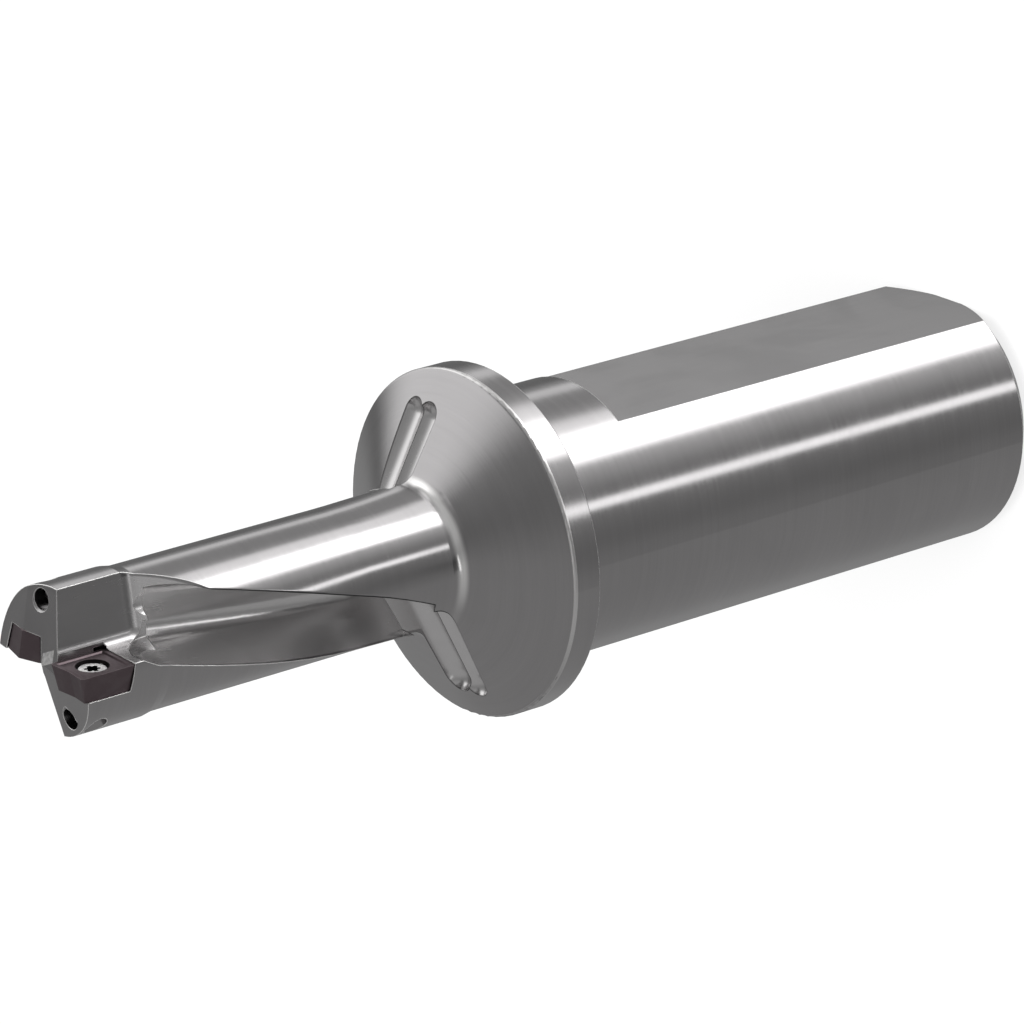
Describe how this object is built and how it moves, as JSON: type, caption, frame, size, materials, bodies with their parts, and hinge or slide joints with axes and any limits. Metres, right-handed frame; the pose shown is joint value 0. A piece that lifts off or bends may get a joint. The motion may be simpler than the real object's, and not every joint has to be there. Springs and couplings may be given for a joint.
{
  "type": "indexable drill",
  "caption": "Flanged shank drill with helical round-cornered flutes and screwed-on carbide inserts at the tip, one at the rim and one at the centre.",
  "frame": {"origin": "centre of the shank's end face, on the drill's axis", "axes": "+Z along the drill's axis with the cutting end up, +Y out of the shank's clamping flat, +X towards the side that carries the peripheral insert"},
  "size_m": [0.032, 0.032, 0.1042],
  "materials": {
    "tool_steel": "polished grey steel with ground and milled surfaces",
    "coated_carbide": "dark purple-brown coated carbide, satin",
    "screw_steel": "bright plated steel"
  },
  "bodies": {
    "root": {"drill_body": "tool_steel", "peripheral_insert": "coated_carbide", "central_insert": "coated_carbide", "peripheral_insert_screw": "screw_steel", "central_insert_screw": "screw_steel"}
  },
  "joints": []
}
